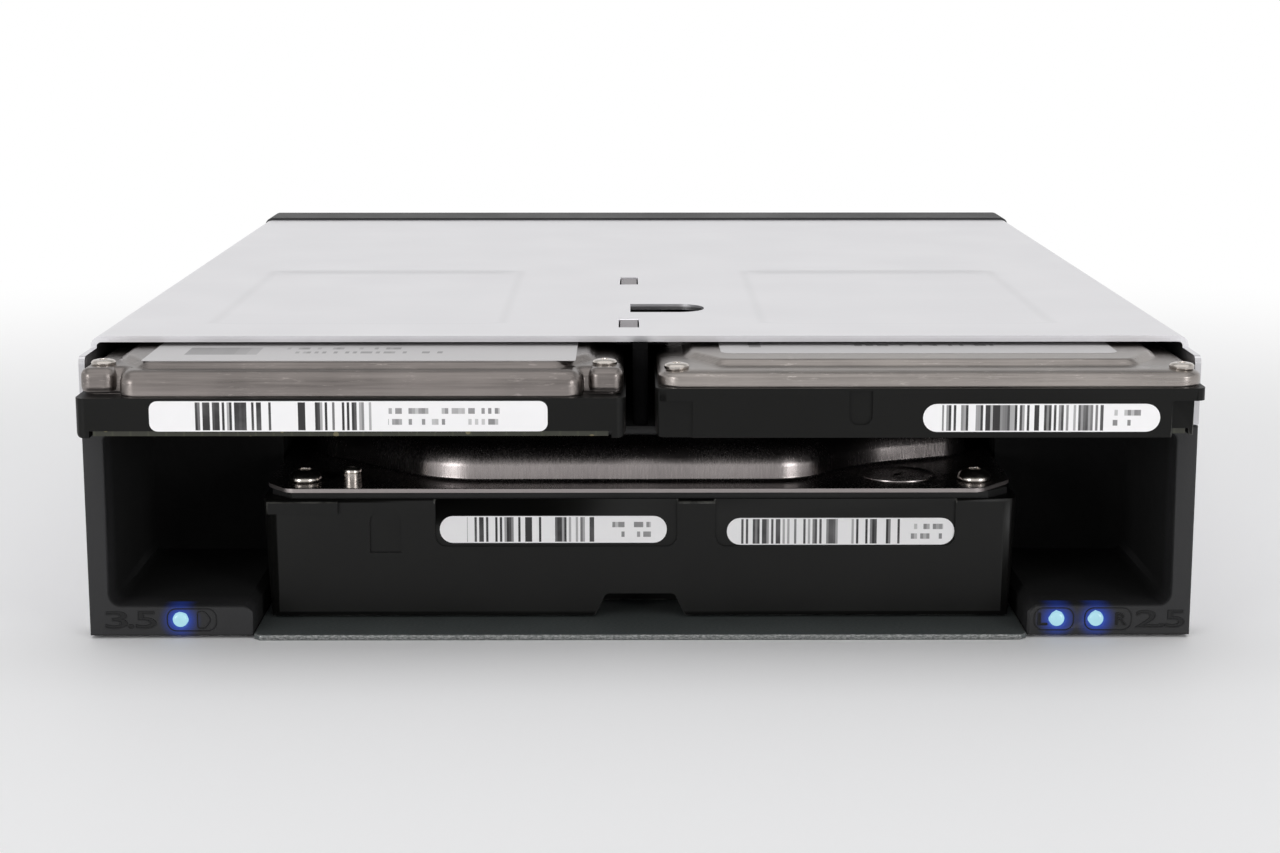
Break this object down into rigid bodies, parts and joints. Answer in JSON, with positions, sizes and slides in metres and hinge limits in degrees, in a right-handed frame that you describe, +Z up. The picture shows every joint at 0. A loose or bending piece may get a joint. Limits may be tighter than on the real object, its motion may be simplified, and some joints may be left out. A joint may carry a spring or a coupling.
{
  "type": "hard drive cage",
  "caption": "Half-height bay cage of folded sheet steel with a black moulded front frame, open finger pockets and hard drives that slide out of the front.",
  "frame": {"origin": "middle of the front plane, on the resting face under the floor plate", "axes": "+X to the right seen from the front, +Y from the front plane to the rear, +Z up"},
  "size_m": [0.146, 0.1835, 0.0399],
  "materials": {
    "zinc_sheet": "satin zinc-coated sheet",
    "dark_sheet": "dark coated sheet, bright on the cut edge",
    "black_moulding": "fine-grained black moulding",
    "circuit_board": "solder mask with traces",
    "connector": "black moulding with gold contacts",
    "light_pipe": "clear rod, lit blue",
    "lamp": "blue lamp",
    "black_casting": "black coated casting",
    "big_cover": "bright drawn sheet",
    "small_cover": "satin drawn sheet",
    "gasket": "matte",
    "screw_steel": "plated"
  },
  "bodies": {
    "cage": {"top_shell": "zinc_sheet", "floor_plate": "dark_sheet", "front_frame": "black_moulding", "left_guide": "black_moulding", "right_guide": "black_moulding", "bay_divider": "black_moulding", "rear_cap": "black_moulding", "backplane_board": "circuit_board", "upper_board": "circuit_board", "board_link": "connector", "big_socket": "connector", "left_socket": "connector", "right_socket": "connector", "left_data_port": "connector", "middle_data_port": "connector", "right_data_port": "connector", "left_power_port": "connector", "right_power_port": "connector", "left_light_pipe": "light_pipe", "inner_light_pipe": "light_pipe", "outer_light_pipe": "light_pipe", "left_lamp": "lamp", "inner_lamp": "lamp", "outer_lamp": "lamp", "shell_screws": "screw_steel"},
    "big_drive": {"big_drive_base": "black_casting", "big_drive_gasket": "gasket", "big_drive_cover": "big_cover", "big_drive_cover_screws": "screw_steel", "big_drive_pin": "screw_steel", "big_drive_board": "circuit_board", "big_drive_motor": "screw_steel", "big_drive_plug": "connector"},
    "left_drive": {"left_drive_base": "black_casting", "left_drive_cover": "small_cover", "left_drive_cover_screws": "screw_steel", "left_drive_board": "circuit_board", "left_drive_motor": "screw_steel", "left_drive_plug": "connector"},
    "right_drive": {"right_drive_base": "black_casting", "right_drive_cover": "small_cover", "right_drive_cover_screws": "screw_steel", "right_drive_board": "circuit_board", "right_drive_motor": "screw_steel", "right_drive_plug": "connector"}
  },
  "joints": [
    {"name": "big_drive_slide", "type": "slide", "parent": "cage", "child": "big_drive", "axis": [0, -1, 0], "range_m": [0, 0.16]},
    {"name": "left_drive_slide", "type": "slide", "parent": "cage", "child": "left_drive", "axis": [0, -1, 0], "range_m": [0, 0.1]},
    {"name": "right_drive_slide", "type": "slide", "parent": "cage", "child": "right_drive", "axis": [0, -1, 0], "range_m": [0, 0.1]}
  ]
}
